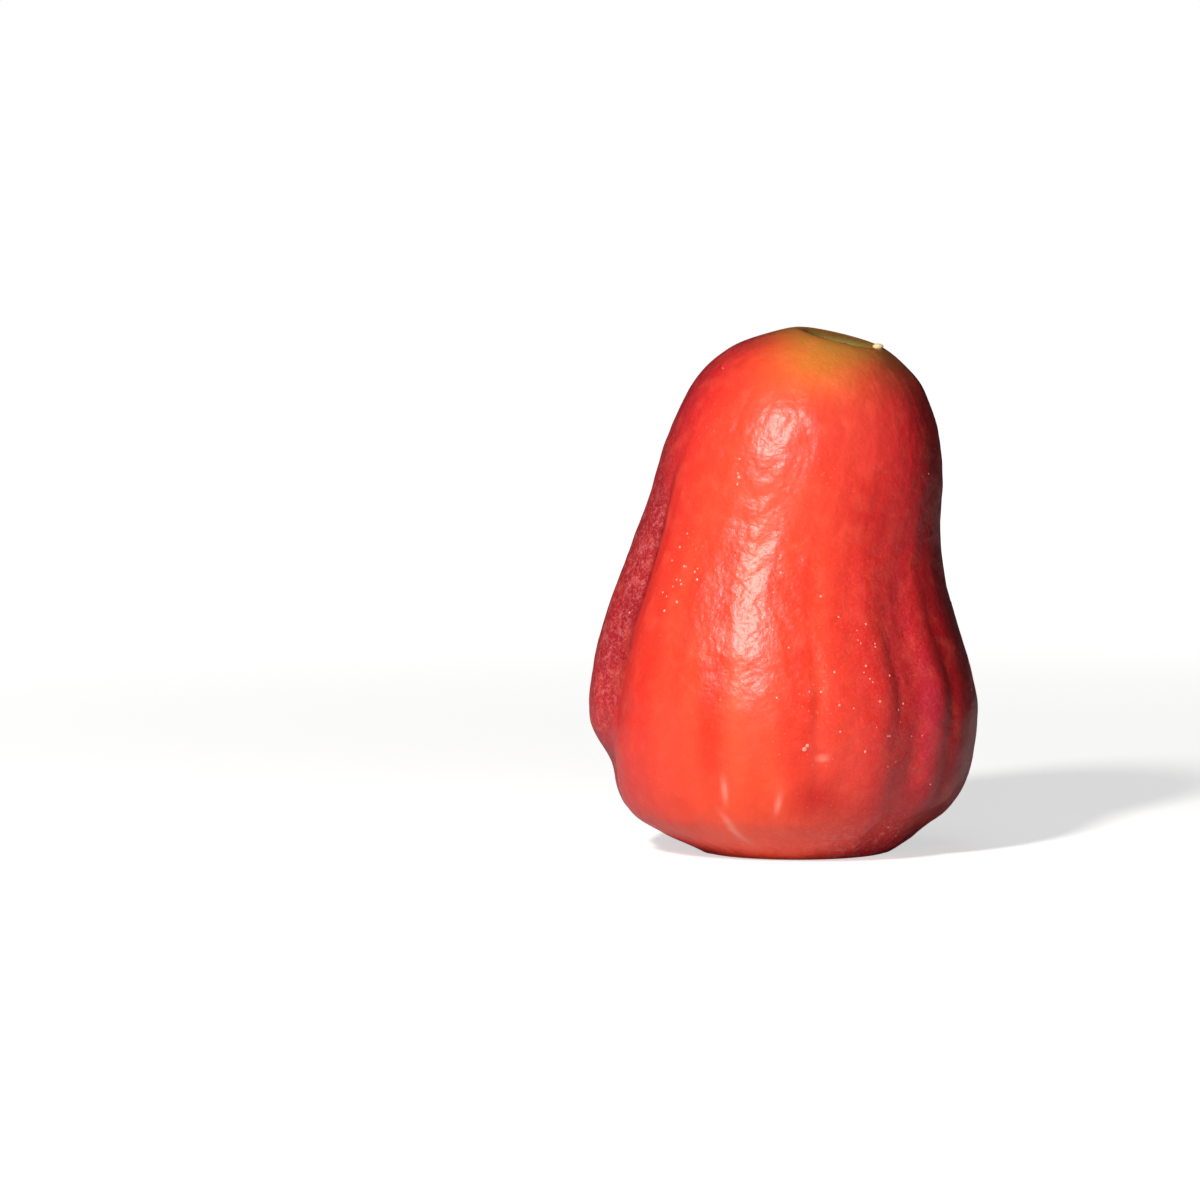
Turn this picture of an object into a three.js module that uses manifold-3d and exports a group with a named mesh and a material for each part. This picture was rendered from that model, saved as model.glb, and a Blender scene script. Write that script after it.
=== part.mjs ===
// Rose apple, also called wax apple: one bell-shaped berry that stands on its calyx end.
// Its pieces are the berry, the four fleshy calyx lobes that curl in over the basin below, and the
// broken stalk in the dimple on top.
//
// Millimetres, +Z up. The front is -Y, and angles round the fruit run from the front towards +X.
// The origin is the middle of the fruit's outline, on the surface that it stands on.
import * as THREE from "three";
import { LoftGeometry } from "three/addons/geometries/LoftGeometry.js";
import { mergeVertices } from "three/addons/utils/BufferGeometryUtils.js";
import Module from "manifold-3d";

const wasm = await Module();
wasm.setup();

// ---- driving dimensions ----------------------------------------------------------------------

// Half of the berry's section on its own axis, as [radius, height], from the roof of the calyx
// basin, round the foot, up the flank and over the rim, to the floor of the stalk dimple.
const BERRY_PROFILE = [
  [0.0, 11.9],
  [0.8, 12.2],
  [1.4, 13.2],
  [3.4, 12.7],
  [5.6, 10.4],
  [7.7, 7.0],
  [9.6, 3.7],
  [10.9, 0.9],
  [12.6, -0.4],
  [14.6, 0.4],
  [19.3, 3.1],
  [24.6, 6.8],
  [27.9, 13.0],
  [29.1, 22.0],
  [27.6, 31.0],
  [24.3, 41.5],
  [22.1, 50.0],
  [20.7, 60.0],
  [18.6, 67.5],
  [15.0, 73.2],
  [10.4, 76.5],
  [6.4, 78.3],
  [4.7, 77.3],
  [2.8, 75.2],
  [0.0, 74.4],
];
const SIDE_SPREAD = 0.012; // how much wider the berry is from side to side than on average

// The upper axis is an arc, so the stalk end leans to one side.
const LEAN_START = 20; // height at which the arc begins
const LEAN_LENGTH = 59; // length of the arc, up to the rim
const LEAN_ANGLE = THREE.MathUtils.degToRad(14.6);
const LEAN_TOWARDS = 68; // degrees round the fruit

// The berry isn't quite straight: it stands off to one side of its axis at these heights.
const SWAYS = [
  { shift: -0.7, height: 42, spread: 17 },
  { shift: 1.6, height: 0, spread: 3 },
  { shift: 1.3, height: 78, spread: 5 },
];

// The four grooves that run down from the shoulder and part the berry into lobes. Each one has turned
// round the fruit by its drift where it reaches the foot.
const LOBE_GROOVES = [
  { angle: -65, drift: -20, depth: 1.5, width: 10, bottom: 2, top: 64 },
  { angle: 43, drift: 0, depth: 1.7, width: 10, bottom: -9, top: 58 },
  { angle: 133, drift: 0, depth: 1.8, width: 11, bottom: -9, top: 64 },
  { angle: 218, drift: 6, depth: 1.6, width: 11, bottom: -9, top: 62 },
];
const GROOVE_FADE = 26; // height over which a groove grows from nothing, at its top, to its depth
const GROOVE_RISE = 9; // the same at its bottom
const DRIFT_HEIGHTS = [8, 24]; // between these heights a groove turns by its drift
const GROOVES_END = 12; // radius inside which there are no grooves, in the dimple and the basin
const GROOVES_FULL = 23; // radius outside which they are at their depth

// The lower ends of the left and right lobes are pinched in.
const PINCHES = [
  { angle: -92, depth: 1.7, width: 24, height: 13, spread: 4.5 },
  { angle: 62, depth: 0.9, width: 12, height: 5.5, spread: 2.5 },
];

// The calyx lobes stand on the middle of the berry's lobes.
const CALYX_LOBES = [
  { name: "calyx_lobe_front", angle: -7 },
  { name: "calyx_lobe_right", angle: 88 },
  { name: "calyx_lobe_back", angle: 173 },
  { name: "calyx_lobe_left", angle: 258 },
];
// A calyx lobe's middle line from root to tip, as [radius, height].
const LOBE_LINE = [
  [10.6, 5.2],
  [9.4, 2.7],
  [7.2, 2.1],
  [5.2, 3.9],
  [4.7, 7.4],
];
const LOBE_THICKNESS = 3.2;
const LOBE_HALF_WIDTH = 43; // degrees round the fruit, at the root

// The stalk stub's half section, as [radius, height].
const STUB_PROFILE = [
  [0.0, 74.0],
  [2.4, 74.0],
  [1.75, 75.4],
  [1.5, 76.6],
  [1.65, 77.3],
  [0.0, 77.5],
];

const SEAM_GAP = 0.3; // space left between touching pieces

const COLUMNS = 64; // points round the berry
const ROWS_PER_SPAN = 3; // rows between two points of the profile

// ---- the berry -------------------------------------------------------------------------------

const { smoothstep, degToRad, radToDeg } = THREE.MathUtils;
const bell = (distance, width) => Math.exp(-((distance / width) ** 2));

// The shortest way between two angles, in degrees.
const apart = (a, b) => ((((a - b) % 360) + 540) % 360) - 180;

// The point at an angle round the fruit, a distance from the axis and a height.
function around(angle, radius, height) {
  const a = degToRad(angle);
  return new THREE.Vector3(radius * Math.sin(a), -radius * Math.cos(a), height);
}

// How far the skin lies under its profile at an angle, a radius and a height.
function sunken(angle, radius, height) {
  let depth = 0;
  for (const pinch of PINCHES) {
    const near = bell(apart(angle, pinch.angle), pinch.width);
    depth += pinch.depth * near * bell(height - pinch.height, pinch.spread);
  }
  for (const groove of LOBE_GROOVES) {
    const grown =
      smoothstep(height, groove.bottom, groove.bottom + GROOVE_RISE) *
      (1 - smoothstep(height, groove.top - GROOVE_FADE, groove.top));
    const middle = groove.angle + groove.drift * (1 - smoothstep(height, ...DRIFT_HEIGHTS));
    depth += groove.depth * grown * bell(apart(angle, middle), groove.width);
  }
  return depth * smoothstep(radius, GROOVES_END, GROOVES_FULL);
}

// Carries a point of the straight berry to its place in the leaning one: along the arc by its
// height, and out from the arc by its distance from the axis. Below the arc's start nothing turns.
function lean(point) {
  const curvature = LEAN_ANGLE / LEAN_LENGTH;
  const turned = curvature * Math.max(point.z - LEAN_START, 0);
  const towards = around(LEAN_TOWARDS, 1, 0);
  const out = point.dot(towards);
  for (const sway of SWAYS) point.x += sway.shift * bell(point.z - sway.height, sway.spread);
  point.addScaledVector(towards, (1 / curvature - out) * (1 - Math.cos(turned)));
  point.z = Math.min(point.z, LEAN_START) + (1 / curvature - out) * Math.sin(turned);
}

// The berry, turned from its profile, then sunk at the grooves and leant over. grown moves the whole
// skin out first, which gives the shape that the berry's neighbours are cut by.
function berryGeometry(grown = 0) {
  const profile = new THREE.SplineCurve(BERRY_PROFILE.map(([r, z]) => new THREE.Vector2(r, z)));
  const rows = (BERRY_PROFILE.length - 1) * ROWS_PER_SPAN;
  const geometry = new THREE.LatheGeometry(profile.getPoints(rows), COLUMNS);
  geometry.rotateX(Math.PI / 2);
  return movePoints(geometry, (point, outward) => {
    const angle = radToDeg(Math.atan2(point.x, -point.y));
    const radius = Math.hypot(point.x, point.y);
    if (radius < 1e-6) outward.set(0, 0, Math.sign(outward.z)); // on the axis it is upright
    point.addScaledVector(outward, grown - sunken(angle, radius, point.z));
    point.x *= 1 + SIDE_SPREAD;
    point.y *= 1 - SIDE_SPREAD;
    lean(point);
    point.z = Math.max(point.z, -grown);
  });
}

// Moves each point of a geometry with a function of the point and its normal.
function movePoints(geometry, move) {
  const position = geometry.getAttribute("position");
  const normal = geometry.getAttribute("normal");
  const point = new THREE.Vector3();
  const outward = new THREE.Vector3();
  for (let i = 0; i < position.count; i++) {
    point.fromBufferAttribute(position, i);
    outward.fromBufferAttribute(normal, i);
    move(point, outward);
    position.setXYZ(i, point.x, point.y, point.z);
  }
  geometry.computeVertexNormals();
  return geometry;
}

// ---- booleans --------------------------------------------------------------------------------

function toSolid(geometry) {
  const bare = new THREE.BufferGeometry();
  bare.setAttribute("position", geometry.getAttribute("position"));
  bare.setIndex(geometry.getIndex());
  const merged = mergeVertices(bare, 1e-4);
  return new wasm.Manifold(
    new wasm.Mesh({
      numProp: 3,
      vertProperties: merged.getAttribute("position").array,
      triVerts: new Uint32Array(merged.getIndex().array),
    }),
  );
}

function toGeometry(solid) {
  const mesh = solid.getMesh();
  const geometry = new THREE.BufferGeometry();
  geometry.setAttribute("position", new THREE.BufferAttribute(mesh.vertProperties, 3));
  geometry.setIndex(new THREE.BufferAttribute(mesh.triVerts, 1));
  geometry.computeVertexNormals();
  return geometry;
}

const aroundBerry = toSolid(berryGeometry(SEAM_GAP));
const cutClearOfBerry = (geometry) => toGeometry(toSolid(geometry).subtract(aroundBerry));

// ---- the calyx lobes -------------------------------------------------------------------------

// A plump tongue: an oval section carried along the lobe's line, which spans the lobe's width round
// the fruit and closes to a blunt tip. Its root is cut to the wall of the basin.
function calyxLobeGeometry(middle) {
  const line = new THREE.SplineCurve(LOBE_LINE.map(([r, z]) => new THREE.Vector2(r, z)));
  const sections = [];
  const steps = 10;
  const corners = 14;
  for (let step = 0; step <= steps; step++) {
    const along = step / steps;
    const on = line.getPoint(along);
    const tangent = line.getTangent(along);
    const full = Math.sqrt(1 - 0.97 * along ** 4); // stays full, then rounds off at the tip
    const section = [];
    for (let corner = 0; corner < corners; corner++) {
      const turn = (2 * Math.PI * corner) / corners;
      const thick = (LOBE_THICKNESS / 2) * full * Math.sin(turn);
      const angle = middle + LOBE_HALF_WIDTH * (1 - 0.2 * along) * full * Math.cos(turn);
      const point = around(angle, on.x - tangent.y * thick, on.y + tangent.x * thick);
      lean(point);
      section.push(point);
    }
    sections.push(section);
  }
  return new LoftGeometry(sections, { capStart: true, capEnd: true });
}

// ---- the stalk stub --------------------------------------------------------------------------

function stubGeometry() {
  const points = STUB_PROFILE.map(([r, z]) => new THREE.Vector2(r, z));
  return movePoints(new THREE.LatheGeometry(points, 14).rotateX(Math.PI / 2), lean);
}

// ---- the fruit -------------------------------------------------------------------------------

const skin = new THREE.MeshStandardMaterial({ color: 0xd8392b, roughness: 0.38, metalness: 0 });
const calyx = new THREE.MeshStandardMaterial({ color: 0x7d1526, roughness: 0.35, metalness: 0 });
const stalk = new THREE.MeshStandardMaterial({ color: 0x9a9440, roughness: 0.75, metalness: 0 });

function piece(name, geometry, material) {
  const mesh = new THREE.Mesh(geometry, material);
  mesh.name = name;
  return mesh;
}

const roseApple = new THREE.Group();
roseApple.add(piece("fruit_body", berryGeometry(), skin));
for (const { name, angle } of CALYX_LOBES)
  roseApple.add(piece(name, cutClearOfBerry(calyxLobeGeometry(angle)), calyx));
roseApple.add(piece("stalk_stub", cutClearOfBerry(stubGeometry()), stalk));

const outline = new THREE.Box3().setFromObject(roseApple, true);
const middle = outline.getCenter(new THREE.Vector3());
roseApple.position.set(-middle.x, -middle.y, -outline.min.z);

export default roseApple;
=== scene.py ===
import bpy
import numpy as np
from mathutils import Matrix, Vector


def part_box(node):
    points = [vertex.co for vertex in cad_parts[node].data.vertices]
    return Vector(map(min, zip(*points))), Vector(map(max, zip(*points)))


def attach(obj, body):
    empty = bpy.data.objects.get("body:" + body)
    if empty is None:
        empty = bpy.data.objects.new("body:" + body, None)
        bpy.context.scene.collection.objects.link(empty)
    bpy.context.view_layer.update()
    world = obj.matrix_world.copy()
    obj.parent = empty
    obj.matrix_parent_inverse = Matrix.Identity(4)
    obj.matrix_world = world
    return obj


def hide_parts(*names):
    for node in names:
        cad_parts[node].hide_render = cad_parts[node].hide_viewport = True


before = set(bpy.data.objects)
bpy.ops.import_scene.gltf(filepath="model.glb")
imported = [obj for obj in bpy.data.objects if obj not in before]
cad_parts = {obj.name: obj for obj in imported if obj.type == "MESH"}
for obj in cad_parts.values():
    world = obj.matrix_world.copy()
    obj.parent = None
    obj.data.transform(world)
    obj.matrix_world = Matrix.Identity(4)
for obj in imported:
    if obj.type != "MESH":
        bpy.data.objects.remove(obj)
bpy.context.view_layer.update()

# ---- The berry -----------------------------------------------------------------------------------
# One bell of crisp flesh under a thin waxy skin: a dimple round the stalk on top, four soft lobes
# parted by grooves, and a ring of flesh round the calyx basin, which it stands on. It grew as one
# piece, and everything else grows on it.

BERRY_PROFILE = [  # [radius, height] in mm, from the basin's roof, over the foot, to the dimple
    [0.0, 11.9],
    [0.8, 12.2],
    [1.4, 13.2],
    [3.4, 12.7],
    [5.6, 10.4],
    [7.7, 7.0],
    [9.6, 3.7],
    [10.9, 0.9],
    [12.6, -0.4],
    [14.6, 0.4],
    [19.3, 3.1],
    [24.6, 6.8],
    [27.9, 13.0],
    [29.1, 22.0],
    [27.6, 31.0],
    [24.3, 41.5],
    [22.1, 50.0],
    [20.7, 60.0],
    [18.6, 67.5],
    [15.0, 73.2],
    [10.4, 76.5],
    [6.4, 78.3],
    [4.7, 77.3],
    [2.8, 75.2],
    [0.0, 74.4],
]
SIDE_SPREAD = 0.012  # wider from side to side than from front to back
LEAN_START = 20.0  # mm, where the axis begins to bend
LEAN_LENGTH = 59.0  # mm, the length of the bend
LEAN_ANGLE = np.radians(14.6)  # how far the top has turned over
LEAN_TOWARDS = 68.0  # degrees round the fruit, from the front towards the right
SWAYS = [(-0.7, 42.0, 17.0), (1.6, 0.0, 3.0), (1.3, 78.0, 5.0)]  # shift, height, spread in mm

# The grooves between the lobes: angle, how far it has turned round at the foot, in degrees, depth in
# mm, width in degrees, bottom and top height in mm.
LOBE_GROOVES = [
    (-65, -20, 1.5, 10, 2, 64),
    (43, 0, 1.7, 10, -9, 58),
    (133, 0, 1.8, 11, -9, 64),
    (218, 6, 1.6, 11, -9, 62),
]
GROOVE_RISE = 9.0  # mm over which a groove grows at its bottom
GROOVE_FADE = 26.0  # mm over which it fades at its top
GROOVE_TURN = (8.0, 24.0)  # mm, the heights between which it turns
PINCHES = [  # where the lower ends of two lobes are drawn in: angle, depth, width, height, spread
    (-92, 1.7, 24, 13.0, 4.5),
    (62, 0.9, 12, 5.5, 2.5),
]

# Small ridges (+) and creases (-) on the lobes: angle, how far each one stands out in mm, width in
# degrees, low end and high end in mm.
RIBS = [
    (-65, -0.50, 3.0, 22, 56),
    (-24, -0.05, 5.0, 10, 48),
    (-12, 0.05, 6.0, 12, 50),
    (7, -0.16, 1.8, 9, 33),
    (13, 0.12, 4.5, 8, 40),
    (27, 0.18, 5.0, 12, 46),
    (35, -0.16, 3.0, 10, 40),
    (50, 0.28, 4.0, 10, 40),
    (58, -0.34, 3.0, 8, 42),
    (68, 0.25, 6.0, 10, 44),
    (88, -0.25, 5.0, 12, 46),
    (112, 0.25, 6.0, 12, 44),
    (150, 0.30, 6.0, 12, 46),
    (172, -0.30, 4.0, 10, 42),
    (196, 0.25, 6.0, 12, 46),
    (245, 0.25, 7.0, 12, 46),
    (262, -0.25, 4.0, 10, 40),
    (280, 0.22, 6.0, 12, 46),
]

# Pale scuffs low on the front: x, z, half width and half length in mm, and how far each one slants.
SCUFFS = [
    (-9.4, 11.6, 0.4, 1.8, -0.10),
    (-8.4, 6.0, 0.5, 1.8, -0.70),
    (-6.9, 4.2, 0.5, 1.3, -1.20),
    (-1.5, 9.6, 0.4, 1.5, 0.15),
    (5.0, 16.6, 0.9, 0.4, 0.0),
]


def bell(distance, width):
    """A bell curve of the distance: 1 in the middle, 0.37 one width away."""
    return np.exp(-((distance / width) ** 2))


def ramp(value, low, high):
    """0 at low and beyond it, 1 at high and beyond it, and an S-shaped change between them."""
    t = np.clip((value - low) / (high - low), 0, 1)
    return t * t * (3 - 2 * t)


def apart(a, b):
    """The shortest way from angle b to angle a, in degrees."""
    return (a - b + 180) % 360 - 180


def spline(points, count):
    """count points, evenly spaced by length, on the smooth curve through the points: each span is the
    cubic that leaves and reaches its ends along the chord between their neighbours."""
    points = np.array(points, float)
    padded = np.concatenate([points[:1], points, points[-1:]])
    t = np.linspace(0, 1, 60, endpoint=False)[None, :, None]
    before, start, end, after = (padded[i : len(padded) - 3 + i, None] for i in range(4))
    leave, reach = (end - before) / 2, (after - start) / 2
    span = (
        (2 * start - 2 * end + leave + reach) * t**3
        + (3 * end - 3 * start - 2 * leave - reach) * t**2
        + leave * t
        + start
    )
    fine = np.concatenate([span.reshape(-1, points.shape[1]), points[-1:]])
    length = np.concatenate([[0], np.cumsum(np.linalg.norm(np.diff(fine, axis=0), axis=1))])
    wanted = np.linspace(0, length[-1], count)
    return np.stack([np.interp(wanted, length, fine[:, i]) for i in range(points.shape[1])], axis=1)


def around(angle, radius, height):
    """The point at an angle in degrees from the front, a distance from the axis and a height."""
    a = np.radians(angle)
    return np.stack(np.broadcast_arrays(radius * np.sin(a), -radius * np.cos(a), height), axis=-1)


def lean(points):
    """Points of the straight berry, carried to the leaning one: along an arc by their height, and out
    from it by their distance from the axis, after a small sideways shift at some heights."""
    x, y, z = (points[..., i] for i in range(3))
    towards = around(LEAN_TOWARDS, 1.0, 0.0)
    curvature = LEAN_ANGLE / LEAN_LENGTH
    turned = curvature * np.maximum(z - LEAN_START, 0)
    out = x * towards[0] + y * towards[1]
    moved = (1 / curvature - out) * (1 - np.cos(turned))
    sway = sum(shift * bell(z - height, spread) for shift, height, spread in SWAYS)
    up = np.minimum(z, LEAN_START) + (1 / curvature - out) * np.sin(turned)
    return np.stack([x + sway + moved * towards[0], y + moved * towards[1], up], axis=-1)


def ripple(angle, height, turns, wave, phase):
    """A wave that runs round the berry in whole turns and up it once every wave mm."""
    return np.sin(np.radians(turns * angle) + 2 * np.pi * height / wave + phase)


def relief(angle, radius, height):
    """How far the skin stands out from the profile, in mm: the pinches and the grooves between the
    lobes, each a bell curve round the fruit; the small ribs and creases, which wander a little; then
    low lumps, products of slanting waves, which break up the shine, with fine level wrinkles on the
    front and a rough foot."""
    form = 0.0
    for middle, depth, width, level, spread in PINCHES:
        form = form - depth * bell(apart(angle, middle), width) * bell(height - level, spread)
    for middle, drift, depth, width, bottom, top in LOBE_GROOVES:
        grown = ramp(height, bottom, bottom + GROOVE_RISE) * (1 - ramp(height, top - GROOVE_FADE, top))
        turned = angle - drift * (1 - ramp(height, *GROOVE_TURN))
        form -= depth * grown * bell(apart(turned, middle), width)
    form = form * ramp(radius, 12, 23)
    wander = 1.5 * np.sin(height / 6.0) + 0.8 * np.sin(height / 2.7 + 1)
    for middle, out, width, low, high in RIBS:
        length = ramp(height, low - 5, low + 4) * (1 - ramp(height, high - 9, high + 9))
        form += out * length * bell(apart(angle + wander, middle), width) * ramp(radius, 17, 24)
    bent = angle + 6 * np.sin(height / 6.5 + 1)
    risen = height + 1.6 * np.sin(np.radians(11 * angle)) + 1.1 * np.sin(np.radians(23 * angle) + 2)
    lumps = (
        0.070 * ripple(bent, risen, 9, 21, 0.4) * ripple(angle, height, -5, 17, 1.9)
        + 0.040 * ripple(bent, risen, 17, -9, 2.2) * ripple(angle, risen, -14, -11, 0.7)
        + 0.022 * ripple(bent, risen, 31, 5.3, 1.1) * ripple(angle, risen, -23, 6.1, 2.9)
        + 0.012 * ripple(bent, risen, 52, -3.3, 0.2) * ripple(angle, risen, 41, 3.7, 1.3)
    )
    wrinkled = bell(apart(angle, 1 + 2 * np.sin(height / 3)), 6) * bell(height - 32, 9)
    wrinkles = 0.045 * wrinkled * np.sin(2 * np.pi * height / 2.3 + 1.5 * np.sin(np.radians(24 * angle)))
    rough = ripple(angle, height, 17, 5.1, 0) * ripple(angle, height, -29, 7.3, 1)
    rough_foot = 0.10 * rough * bell(height - 1.5, 3)
    return form + (lumps + wrinkles + rough_foot) * ramp(radius, 8, 21)


def closed_mesh(name, shells, low_ends, high_ends):
    """An object in metres of one or more alike closed shells in mm, shells[shell, ring, point]. The
    rings of each shell run up from a single point at its low end to a single point at its high end."""
    count, rows, columns = shells.shape[:3]
    ends = [np.reshape(end, (count, 1, 3)) for end in (low_ends, high_ends)]
    points = np.concatenate([shells.reshape(count, -1, 3), *ends], axis=1) / 1000
    low_point, high_point = rows * columns, rows * columns + 1
    here = np.arange(rows * columns).reshape(rows, columns)
    beside = np.roll(here, -1, axis=1)
    sides = np.stack([here[:-1], beside[:-1], beside[1:], here[1:]], axis=-1).reshape(-1, 4)
    low = np.stack([beside[0], here[0], np.full(columns, low_point)], axis=-1)
    high = np.stack([here[-1], beside[-1], np.full(columns, high_point)], axis=-1)
    starts = (np.arange(count) * (high_point + 1))[:, None, None]
    faces = [(starts + part).reshape(-1, part.shape[1]).tolist() for part in (sides, low, high)]
    mesh = bpy.data.meshes.new(name)
    mesh.from_pydata(points.reshape(-1, 3).tolist(), [], faces[0] + faces[1] + faces[2])
    mesh.polygons.foreach_set("use_smooth", np.ones(len(mesh.polygons), bool))
    piece = bpy.data.objects.new(name, mesh)
    bpy.context.scene.collection.objects.link(piece)
    return piece


def write_attribute(piece, name, values):
    """A value for each point of a piece: one number, or the three numbers of a colour."""
    if values.ndim == 1:
        piece.data.attributes.new(name, "FLOAT", "POINT").data.foreach_set("value", values)
    else:
        colour = np.concatenate([values, np.ones((len(values), 1))], axis=1)
        piece.data.attributes.new(name, "FLOAT_COLOR", "POINT").data.foreach_set("color", colour.ravel())


def linear(hex_colour):
    """The linear red, green and blue of an sRGB colour such as "d8392b"."""
    srgb = np.array([int(hex_colour[i : i + 2], 16) for i in (0, 2, 4)]) / 255
    return np.where(srgb <= 0.04045, srgb / 12.92, ((srgb + 0.055) / 1.055) ** 2.4)


ROWS, COLUMNS = 232, 416
outline = spline(BERRY_PROFILE, ROWS + 2)
slope = np.gradient(outline, axis=0)
slope /= np.linalg.norm(slope, axis=1, keepdims=True)
angle = np.linspace(0, 360, COLUMNS, endpoint=False)[None, :]
radius, height = outline[1:-1, 0, None], outline[1:-1, 1, None]
out_radius, out_height = slope[1:-1, 1, None], -slope[1:-1, 0, None]
stand = relief(angle, radius, height)
straight = around(angle, radius + out_radius * stand, height + out_height * stand)
straight *= [1 + SIDE_SPREAD, 1 - SIDE_SPREAD, 1]
skin_points = lean(straight)
skin_points[..., 2] = np.maximum(skin_points[..., 2], 0)
roof = lean(np.array([0, 0, outline[0, 1]]))
floor = lean(np.array([0, 0, outline[-1, 1]]))

# The berry goes where its CAD node is. The same step places the lobes and the stalk below.
cad_low, cad_high = (np.array(corner) * 1000 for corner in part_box("fruit_body"))
flat = skin_points.reshape(-1, 3)
place = (cad_low + cad_high) / 2 - (flat.min(axis=0) + flat.max(axis=0)) / 2
place[2] = 0
skin_points = skin_points + place
berry = closed_mesh("berry", skin_points[None], roof + place, floor + place)

# Where the skin's colours lie. The front lobe is vermilion with brighter streaks and the sides turn
# crimson; painted shade darkens the creases, the left lobe and the right flank; the left lobe is dusty,
# the stalk end has a golden blush and an olive dimple with painted shade in it, and the basin is pale
# pink inside. Angles are in degrees, the rest in mm.
a, r, h = np.broadcast_arrays(angle, radius, height)
x, y, z = (skin_points[..., i] for i in range(3))


def blend(colours, hex_colour, weight):
    """The colours, turned to another one by a weight at each point."""
    weight = np.clip(weight, 0, 1)[..., None]
    return colours * (1 - weight) + linear(hex_colour) * weight


waves = ripple(a, h, 13, 190, 0.3) + ripple(a, h, 29, -150, 1.2)
streaks = 0.5 + 0.25 * waves * (1 - ramp(h, 40, 62))
outside = np.clip(ramp(r, 13, 20) + ramp(h, 40, 50), 0, 1)
top = ramp(h, 60, 70)
turned = a + 20 * (1 - ramp(h, *GROOVE_TURN))  # the left groove turns like this
soft = ramp(h, 48, 64)
left = ramp(apart(turned, -65), 3 + 12 * soft, -4 - 22 * soft) * ramp(apart(a, -150), -28, 20)
right = ramp(apart(a, 50), -16, 22) * ramp(apart(a, 150), 8, -22)
front = bell(apart(a, -16), 44) + 0.35 * bell(apart(a, 173), 34)
tint = np.broadcast_to(linear("d01c30"), a.shape + (3,))
tint = blend(tint, "f0502a", front)
tint = blend(tint, "d2201a", 0.5 * streaks * ramp(h, 2, 20))
tint = blend(tint, "e43208", 0.95 * bell(apart(a, -24), 4.5) * ramp(h, 10, 20) * (1 - ramp(h, 42, 54)))
tint = blend(tint, "dc2c10", 0.6 * bell(apart(a, 2), 5) * ramp(h, 10, 20) * (1 - ramp(h, 40, 54)))
tint = blend(tint, "d8483c", 0.45 * bell(apart(a, 8), 30) * ramp(h, 54, 68))
tint = blend(tint, "be1010", 0.8 * bell(x - 4.2, 3.4) * bell(z - 10.4, 2.8) * (y < 0))
tint = blend(tint, "bc1210", 0.5 * bell(x - 12.5, 4.0) * bell(z - 51, 5.0) * (y < 0))
# Painted shade: each crease (a rib that sinks in) is darkened to deep crimson along its line, where
# shade falls in it.
for middle, out, width, low, high in RIBS:
    sunk = max(-out, 0) * ramp(h, low - 4, low + 5) * (1 - ramp(h, high - 9, high + 6))
    tint = blend(tint, "7c0410", 1.6 * sunk * bell(apart(a, middle), 0.8 * width) * ramp(r, 16, 22))
# The left lobe: partly its own darker crimson and partly painted shade, darker beyond the left groove
# and higher up.
tint = blend(tint, "84101a", (0.45 + 0.40 * ramp(h, 16, 36)) * left * outside)
# Painted shade: the right flank turns near black-red, partly a deeper crimson of the skin and partly
# shade painted into the colour.
tint = blend(tint, "520003", 0.75 * right * outside)
tint = blend(tint, "ff6a50", 0.45 * ramp(h, 9, 3) * bell(apart(a, -10), 50) * outside)
tint = blend(tint, "8c2c5c", 0.22 * bell(apart(a, 50), 4) * bell(h - 22, 9))
tint = blend(tint, "c8862c", 0.90 * bell(x - 5.0, 6.5) * bell(z - 74.0, 4.4) * bell(y + 9, 12))
tint = blend(tint, "94762a", 0.70 * bell(r - 7.0, 3.2) * ramp(h, 70, 76))
tint = blend(tint, "6c3c1c", 0.65 * bell(x - 17.0, 4.5) * bell(z - 74, 5.0) * top)
tint = blend(tint, "94803a", ramp(r, 6.2, 5.0) * top)
# Painted shade: a dark line round the far rim of the dimple, and a darker ring deep in the dimple round
# the stalk's root.
tint = blend(tint, "2c2412", 0.75 * bell(r - 5.4, 0.6) * bell(apart(a, 170), 70) * top)
tint = blend(tint, "4a3a1c", 0.5 * bell(r - 2.8, 1.2) * top)
in_basin = (1 - ramp(r, 9.5, 12.0)) * (1 - ramp(h, 20, 30))
tint = blend(tint, "c9605a", in_basin)
tint = blend(tint, "d9c98c", 0.8 * in_basin * (1 - ramp(r, 1.5, 5.5)))

for x_middle, z_middle, half_width, half_length, slant in SCUFFS:
    across = x - x_middle - slant * (z - z_middle)
    line = bell(across, half_width) * bell(z - z_middle, half_length) * (y < 0)
    tint = blend(tint, "ffb8a4", 0.45 * line)

bloom = (
    0.08
    + 0.62 * left * (1 - 0.6 * ramp(h, 46, 66))
    + 0.34 * bell(apart(a, 36), 18) * (1 - ramp(h, 40, 60))
    + 0.08 * bell(apart(a, 70), 40) * ramp(h, 50, 66)
    + 0.90 * bell(h - 2.5, 3.5) * bell(apart(a, 28), 40)
    + 0.25 * bell(apart(a, 180), 60)
)
bloom = np.clip(bloom, 0, 1) * (1 - in_basin) * (1 - 0.7 * ramp(r, 9, 6) * top)

ends = [0, -1]
write_attribute(berry, "tint", np.concatenate([tint.reshape(-1, 3), tint[ends, 0]]))
write_attribute(berry, "bloom", np.concatenate([bloom.ravel(), bloom[ends, 0]]))


def add_node(tree, kind, settings, inputs, output=0):
    """One output of a new shader node. Its inputs are set to a value or linked from a socket."""
    node = tree.nodes.new(kind)
    for name, value in settings.items():
        setattr(node, name, value)
    for name, value in inputs.items():
        if isinstance(value, bpy.types.NodeSocket):
            tree.links.new(value, node.inputs[name])
        else:
            node.inputs[name].default_value = value
    return node.outputs[output]


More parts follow.
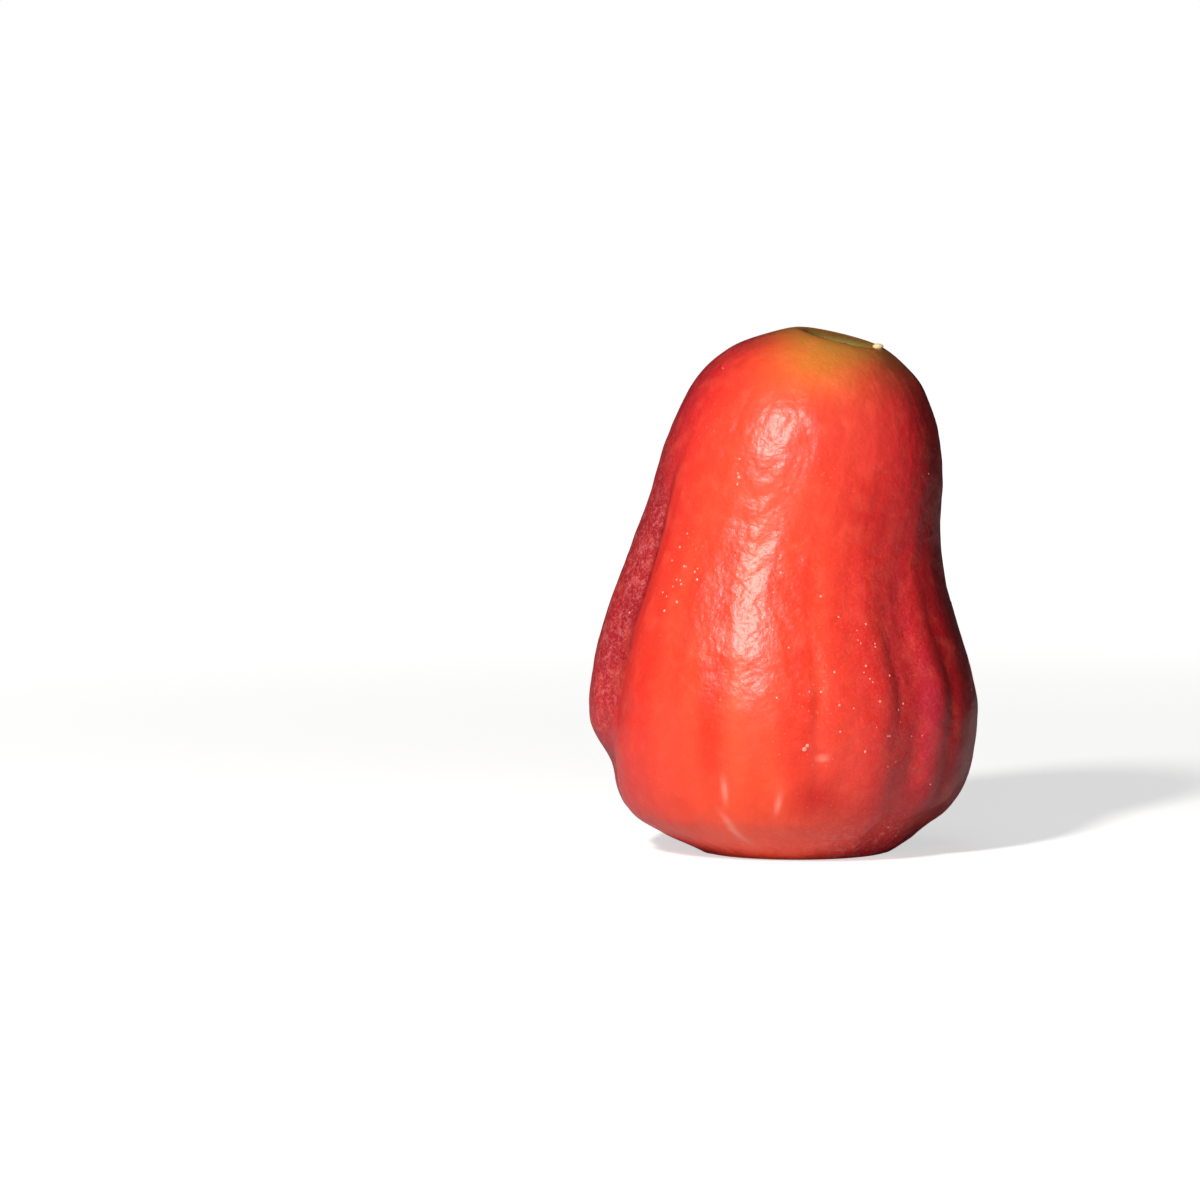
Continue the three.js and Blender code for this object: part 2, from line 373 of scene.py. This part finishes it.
def clouds(tree, coordinates, size_mm, detail, low=0.0, high=1.0):
    """A cloudy pattern with features of about that size: a noise stretched so that low gives 0 and
    high gives 1."""
    wanted = {"Vector": coordinates, "Scale": 1000 / size_mm, "Detail": detail}
    grey = add_node(tree, "ShaderNodeTexNoise", {}, wanted, "Fac")
    return add_node(tree, "ShaderNodeMapRange", {}, {0: grey, 1: low, 2: high})


def lay_over(tree, under, hex_colour, strength, patterns):
    """A colour laid over what is under it, by its strength times all of the patterns."""
    weight = strength
    for pattern in patterns:
        weight = add_node(tree, "ShaderNodeMath", {"operation": "MULTIPLY"}, {0: weight, 1: pattern})
    colours = {0: weight, 6: under, 7: rgba(hex_colour)}
    return add_node(tree, "ShaderNodeMix", {"data_type": "RGBA"}, colours, 2)


def rgba(hex_colour):
    """The linear colour of an sRGB hex value, with a full alpha."""
    return (*linear(hex_colour), 1.0)


def new_material(name, colour, roughness):
    """A material with one Principled shader, its node tree, the shader and its object coordinates."""
    material = bpy.data.materials.new(name)
    material.use_nodes = True
    tree = material.node_tree
    shader = tree.nodes["Principled BSDF"]
    shader.inputs["Base Color"].default_value = rgba(colour)
    shader.inputs["Roughness"].default_value = roughness
    coordinates = tree.nodes.new("ShaderNodeTexCoord").outputs["Object"]
    return material, tree, shader, coordinates


# Waxy skin: red over pale flesh, so it glows a little, mottled and blotched over a few mm. Pores about
# 0.6 mm apart dimple it like orange peel under a thin natural wax, which shines in broken patches. Pale
# specks mark some pores, and a dusty bloom stipples and dulls the skin where it isn't rubbed off.
skin, tree, shader, coordinates = new_material("waxy_rose_apple_skin", "d8281e", 0.36)
tint_in = add_node(tree, "ShaderNodeAttribute", {"attribute_name": "tint"}, {}, "Color")
bloom_in = add_node(tree, "ShaderNodeAttribute", {"attribute_name": "bloom"}, {}, "Fac")
upright = add_node(tree, "ShaderNodeMapping", {}, {"Vector": coordinates, "Scale": (1, 1, 0.3)})
mottle = clouds(tree, upright, 6, 4, 0.42, 0.72)
blotch = clouds(tree, coordinates, 3.2, 5, 0.50, 0.72)
stipple = clouds(tree, coordinates, 0.36, 1, 0.48, 0.68)
scuffs = clouds(tree, coordinates, 1.1, 3, 0.52, 0.70)
patches = clouds(tree, coordinates, 9, 2, 0.50, 0.66)
pores = add_node(tree, "ShaderNodeTexVoronoi", {}, {"Vector": coordinates, "Scale": 1000 / 0.9})
dots = add_node(tree, "ShaderNodeMapRange", {}, {0: pores, 1: 0.20, 2: 0.09})
specks = add_node(tree, "ShaderNodeMath", {"operation": "MULTIPLY"}, {0: dots, 1: patches})
colour = lay_over(tree, tint_in, "d01c14", 0.24, [mottle])
colour = lay_over(tree, colour, "ff7050", 0.16, [blotch])
colour = lay_over(tree, colour, "ea8080", 0.60, [scuffs, bloom_in, bloom_in])
colour = lay_over(tree, colour, "e87c80", 0.40, [stipple, bloom_in])
colour = lay_over(tree, colour, "ffb49a", 0.20, [specks])
tree.links.new(colour, shader.inputs["Base Color"])
dusty = add_node(tree, "ShaderNodeMapRange", {}, {0: bloom_in, 3: 0.34, 4: 0.58})
tree.links.new(dusty, shader.inputs["Roughness"])
shader.inputs["Specular IOR Level"].default_value = 0.42
shader.inputs["Subsurface Weight"].default_value = 0.12
shader.inputs["Subsurface Radius"].default_value = (1.0, 0.25, 0.12)
shader.inputs["Subsurface Scale"].default_value = 0.003
peel = {"Strength": 0.9, "Distance": 0.00008, "Height": clouds(tree, coordinates, 0.62, 3)}
peel = add_node(tree, "ShaderNodeBump", {}, peel)
pitted = {"Strength": 0.5, "Distance": 0.00005, "Height": specks, "Normal": peel}
pitted = add_node(tree, "ShaderNodeBump", {}, pitted)
swells = clouds(tree, coordinates, 3.6, 2)
swollen = {"Strength": 1.0, "Distance": 0.00030, "Height": swells, "Normal": pitted}
swollen = add_node(tree, "ShaderNodeBump", {}, swollen)
tree.links.new(swollen, shader.inputs["Normal"])
berry.data.materials.append(skin)
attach(berry, "root")
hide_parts("fruit_body")

# ---- The beads on the skin -----------------------------------------------------------------------
# Small raised pores and dried beads of wax, under a millimetre wide, in loose groups on the skin, and
# one healed sting, a pair of larger beads. They grew out of the skin and sit half sunk in it.

BEAD_GROUPS = [  # angle, height, spread in degrees, spread in mm, how many, radius in mm
    (-28, 58, 1.5, 1.6, 4, 0.28),
    (-12, 64, 0.5, 0.5, 1, 0.30),
    (-9, 50, 5.0, 1.5, 5, 0.24),
    (-41, 41, 5.0, 3.5, 16, 0.24),
    (-3, 36, 9.0, 8.0, 10, 0.22),
    (24, 30, 9.0, 6.0, 18, 0.22),
    (36, 22, 7.0, 6.0, 10, 0.20),
    (60, 30, 25.0, 16.0, 14, 0.20),
    (140, 35, 40.0, 18.0, 24, 0.22),
    (230, 35, 40.0, 18.0, 24, 0.22),
]
STING = (4.5, 17.8)  # angle, height

chance = np.random.default_rng(7)
bead_angle, bead_height, bead_size = [], [], []
for middle, level, wide, tall, many, size in BEAD_GROUPS:
    bead_angle.append(middle + wide * chance.standard_normal(many))
    bead_height.append(level + tall * chance.standard_normal(many))
    bead_size.append(size * chance.uniform(0.50, 0.95, many))
bead_angle = np.concatenate(bead_angle + [[STING[0], STING[0] + 0.6]])
bead_height = np.concatenate(bead_height + [[STING[1], STING[1] + 0.8]])
bead_size = np.concatenate(bead_size + [[0.36, 0.30]])


def on_skin(angle, height):
    """The points of the flank nearest to those angles and heights, and which way the skin faces."""
    column = np.rint(np.asarray(angle) / 360 * COLUMNS).astype(int) % COLUMNS
    level = np.where(outline[1:-1, 0] > 14, outline[1:-1, 1], 999)
    row = np.abs(level[:, None] - np.asarray(height)).argmin(axis=0)
    along = skin_points[row, (column + 1) % COLUMNS] - skin_points[row, column - 1]
    up = skin_points[row + 1, column] - skin_points[row - 1, column]
    out = np.cross(along, up)
    out /= np.linalg.norm(out, axis=1, keepdims=True)
    side = np.cross([0, 0, 1], out)
    side /= np.linalg.norm(side, axis=1, keepdims=True)
    return skin_points[row, column], side, np.cross(out, side), out


middle, side, up, out = (v[:, None, None] for v in on_skin(bead_angle, bead_height))
tilt = np.radians(np.linspace(-80, 80, 7))[None, :, None, None]
turn = np.radians(np.linspace(0, 360, 12, endpoint=False))[None, None, :, None]
size = bead_size[:, None, None, None]
round_way = np.cos(tilt) * (np.cos(turn) * side + np.sin(turn) * up)
shells = middle + size * (round_way + 0.42 * np.sin(tilt) * out)
beads = closed_mesh("wax_beads", shells, shells[:, 0].mean(axis=1), shells[:, -1].mean(axis=1))

# Hardened wax: pale pink and glossy, so each bead is a small glint on the duller skin.
wax, tree, shader, coordinates = new_material("wax_bead", "f69a88", 0.08)
shader.inputs["Coat Weight"].default_value = 0.6
shader.inputs["Coat Roughness"].default_value = 0.08
beads.data.materials.append(wax)
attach(beads, "root")

# ---- The flake on the rim ------------------------------------------------------------------------
# A crumb of dried, corky skin at the right end of the dimple's rim, where the fruit was pulled off its
# stalk: cream, lumpy, about 1.5 mm long, and stuck to the skin.

FLAKE_ANGLE = 80  # degrees
FLAKE_HALVES = (0.8, 0.55, 0.5)  # mm to the right, back and up
FLAKE_RISE = 0.15  # mm, how far its middle stands over the rim

rim_column = int(FLAKE_ANGLE / 360 * COLUMNS)
rim_point = skin_points[skin_points[:, rim_column, 2].argmax(), rim_column]
tilt = np.radians(np.linspace(-84, 84, 17))[:, None]
turn = np.linspace(0, 2 * np.pi, 28, endpoint=False)[None, :]
lumpy = 1 + (0.10 * np.sin(2 * turn + tilt) + 0.05 * np.sin(3 * turn)) * np.cos(tilt)
ball = around(turn * 180 / np.pi + 90, np.cos(tilt), np.sin(tilt))
points = rim_point + [0, 0, FLAKE_RISE] + ball * lumpy[..., None] * np.array(FLAKE_HALVES)
flake = closed_mesh("rim_flake", points[None], points[0].mean(axis=0), points[-1].mean(axis=0))
# Dry cork: cream and matt, the palest spot on the fruit.
cork, tree, shader, coordinates = new_material("dry_cork", "dcc690", 0.6)
flake.data.materials.append(cork)
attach(flake, "root")

# ---- The calyx lobes -----------------------------------------------------------------------------
# Four plump sepals, left from the flower, that grow out of the foot's inner edge and curl in and up
# over the basin. They are smooth, dark crimson and glossy, and their roots sink into the flesh.

LOBE_LINE = [[10.6, 5.2], [9.4, 2.7], [7.2, 2.1], [5.2, 3.9], [4.7, 7.4]]  # [radius, height] in mm
LOBE_THICKNESS = 3.2
LOBE_HALF_WIDTH = 43.0  # degrees round the fruit, at the root
LOBE_ANGLES = {"front": -7, "right": 88, "back": 173, "left": 258}
LOWEST = 0.35  # mm, how far the lobes stay above the ground

# Sepal skin: crimson mottled with near black over 2.4 mm, lighter at the edges, under a wet-looking
# wax.
sepal_skin, tree, shader, coordinates = new_material("calyx_lobe_flesh", "6e0c1c", 0.3)
mottled = clouds(tree, coordinates, 2.4, 3, 0.40, 0.68)
rim_in = add_node(tree, "ShaderNodeAttribute", {"attribute_name": "rim"}, {}, "Fac")
colour = lay_over(tree, rgba("4c0612"), "96142e", 1.0, [mottled])
colour = lay_over(tree, colour, "b8404a", 1.0, [rim_in])
tree.links.new(colour, shader.inputs["Base Color"])
shader.inputs["Coat Weight"].default_value = 0.3
shader.inputs["Coat Roughness"].default_value = 0.15
veins = {"Strength": 0.4, "Distance": 0.00008, "Height": clouds(tree, coordinates, 0.9, 2)}
tree.links.new(add_node(tree, "ShaderNodeBump", {}, veins), shader.inputs["Normal"])


def sepal(side, middle):
    """A tongue: an oval section that follows the lobe's line, as wide as its part of the ring, full for
    most of its length and rounded off at the tip, with a low keel and a wavy edge."""
    line = spline(LOBE_LINE, 42)
    slope = np.gradient(line, axis=0)
    slope /= np.linalg.norm(slope, axis=1, keepdims=True)
    along = np.linspace(0, 1, 42)[:, None]
    turn = np.linspace(0, 2 * np.pi, 64, endpoint=False)[None, :]
    full = np.sqrt(1 - 0.97 * along**4)
    thick = LOBE_THICKNESS / 2 * full * np.sin(turn)
    thick = thick - 0.16 * bell(np.cos(turn), 0.28) * np.sin(np.pi * along) * np.sign(thick)
    edge = 1 + 0.03 * np.sin(9 * along + middle) * np.cos(turn) ** 2
    spread = middle + LOBE_HALF_WIDTH * (1 - 0.2 * along) * full * edge * np.cos(turn)
    radius = line[:, 0, None] - slope[:, 1, None] * thick
    height = line[:, 1, None] + slope[:, 0, None] * thick
    points = lean(around(spread, radius, height)) + place
    points[..., 2] = np.maximum(points[..., 2], LOWEST)
    piece = closed_mesh("sepal_" + side, points[None], points[0].mean(axis=0), points[-1].mean(axis=0))
    rim = np.broadcast_to(np.abs(np.cos(turn)) ** 6 * ramp(along, 0.2, 0.9) * 0.6, points.shape[:2])
    write_attribute(piece, "rim", np.concatenate([rim.ravel(), [0, 0.3]]))
    piece.data.materials.append(sepal_skin)
    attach(piece, "root")
    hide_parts("calyx_lobe_" + side)


for side, middle in LOBE_ANGLES.items():
    sepal(side, middle)

# ---- The stalk stub ------------------------------------------------------------------------------
# What is left of the stalk after picking: a short yellow-green peg, ribbed, wider at its root in the
# dimple and torn off at a dry brown end.

STUB_PROFILE = [  # [radius, height] in mm, from its root to its torn end
    [0.0, 73.6],
    [2.5, 74.0],
    [1.9, 75.0],
    [1.55, 76.0],
    [1.5, 76.8],
    [1.6, 77.25],
    [1.2, 77.5],
    [0.0, 77.35],
]

stub_line = spline(STUB_PROFILE, 52)
angle = np.linspace(0, 360, 72, endpoint=False)[None, :]
radius, height = stub_line[1:-1, 0, None], stub_line[1:-1, 1, None]
ribbed = 1 + 0.035 * np.cos(np.radians(7 * angle)) + 0.02 * np.sin(np.radians(15 * angle) + height)
torn = 0.16 * ripple(angle, height, 5, 9, 0) * ripple(angle, height, 3, 7, 1) * ramp(height, 76.6, 77.3)
points = lean(around(angle, radius * ribbed, height + torn * ramp(radius, 0.1, 1.0))) + place
stub_ends = [lean(np.array([0, 0, stub_line[i, 1]])) + place for i in (0, -1)]
stub = closed_mesh("stalk_peg", points[None], *stub_ends)
dry = np.broadcast_to(ramp(height, 76.5, 77.3), points.shape[:2])
write_attribute(stub, "dry", np.concatenate([dry.ravel(), [0, 1]]))

# Green bark: matt yellow-green with fibres 0.35 mm wide that run along the stalk, brown where it dried.
stalk_bark, tree, shader, coordinates = new_material("green_stalk", "8f8a3c", 0.6)
dry_in = add_node(tree, "ShaderNodeAttribute", {"attribute_name": "dry"}, {}, "Fac")
fibres = add_node(tree, "ShaderNodeMapping", {}, {"Vector": coordinates, "Scale": (1, 1, 0.25)})
colour = lay_over(tree, rgba("6f7430"), "b3a650", 1.0, [clouds(tree, fibres, 0.35, 2, 0.35, 0.65)])
colour = lay_over(tree, colour, "5a3a1c", 1.0, [dry_in])
tree.links.new(colour, shader.inputs["Base Color"])
grain = {"Strength": 0.6, "Distance": 0.0001, "Height": clouds(tree, fibres, 0.35, 2)}
tree.links.new(add_node(tree, "ShaderNodeBump", {}, grain), shader.inputs["Normal"])
stub.data.materials.append(stalk_bark)
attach(stub, "root")
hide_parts("stalk_stub")

# ---- The stage -----------------------------------------------------------------------------------
# A pale floor that the camera sees fade to white, a small soft light high at the front left, a weak
# wide one low in front and one above for the shadows, and a long lens a metre away, 4 degrees up.

floor_mesh = bpy.data.meshes.new("floor")
floor_mesh.from_pydata([(-3, -3, 0), (3, -3, 0), (3, 3, 0), (-3, 3, 0)], [], [(0, 1, 2, 3)])
floor_plane = bpy.data.objects.new("floor", floor_mesh)
bpy.context.scene.collection.objects.link(floor_plane)
pale, tree, shader, coordinates = new_material("pale_floor", "d8d8d8", 0.9)
to_camera = tree.nodes.new("ShaderNodeLightPath").outputs["Is Camera Ray"]
shader.inputs["Emission Color"].default_value = (1, 1, 1, 1)
away = add_node(tree, "ShaderNodeVectorMath", {"operation": "LENGTH"}, {0: coordinates}, "Value")
fade = {0: away, 1: 0.08, 2: 0.7, 3: 0.60, 4: 1.0}
glow = add_node(tree, "ShaderNodeMapRange", {"interpolation_type": "SMOOTHSTEP"}, fade)
seen = add_node(tree, "ShaderNodeMath", {"operation": "MULTIPLY"}, {0: to_camera, 1: glow})
tree.links.new(seen, shader.inputs["Emission Strength"])
shader.inputs["Specular IOR Level"].default_value = 0
floor_mesh.materials.append(pale)


def area_light(name, position, target, width, length, watts, colour, shines):
    """An oval soft light that faces a target. It shows in reflections only if it shines."""
    data = bpy.data.lights.new(name, "AREA")
    data.shape = "ELLIPSE"
    data.size, data.size_y, data.energy, data.color = width, length, watts, colour
    light = bpy.data.objects.new(name, data)
    light.location = position
    way = np.array(target) - np.array(position)
    level = np.hypot(way[0], way[1])
    light.rotation_euler = (np.arctan2(level, -way[2]), 0, np.arctan2(way[1], way[0]) - np.pi / 2)
    light.visible_glossy = shines
    bpy.context.scene.collection.objects.link(light)


area_light("key", (-0.27, -0.57, 0.42), (0, 0, 0.04), 0.07, 0.10, 5.7, (1.0, 0.98, 0.96), True)
area_light("fill", (-0.25, -0.90, 0.06), (0, 0, 0.03), 0.8, 0.5, 4.2, (1.0, 0.97, 0.96), False)
area_light("overhead", (-0.1, -0.1, 0.9), (0, 0, 0.0), 0.7, 0.7, 1.0, (1.0, 1.0, 1.0), False)

world = bpy.data.worlds.new("studio")
world.use_nodes = True
tree = world.node_tree
to_camera = tree.nodes.new("ShaderNodeLightPath").outputs["Is Camera Ray"]
brightness = add_node(tree, "ShaderNodeMapRange", {}, {0: to_camera, 3: 0.025, 4: 1.0})
background = tree.nodes["Background"]
tree.links.new(brightness, background.inputs["Strength"])
background.inputs["Color"].default_value = (1, 1, 1, 1)
bpy.context.scene.world = world

AIM_LEFT, AIM_HEIGHT = 0.02777, 0.0380  # m, so the fruit stands right of the middle of the picture
CAMERA_ELEVATION = np.radians(4)

camera_data = bpy.data.cameras.new("camera")
camera_data.lens = 198.5
camera_data.sensor_width = 36
camera = bpy.data.objects.new("camera", camera_data)
rise, back = np.sin(CAMERA_ELEVATION), np.cos(CAMERA_ELEVATION)
camera.location = (-AIM_LEFT, -back, AIM_HEIGHT + rise)
camera.rotation_euler = (np.pi / 2 - CAMERA_ELEVATION, 0, 0)
bpy.context.scene.collection.objects.link(camera)
bpy.context.scene.camera = camera
bpy.context.scene.view_settings.view_transform = "Standard"
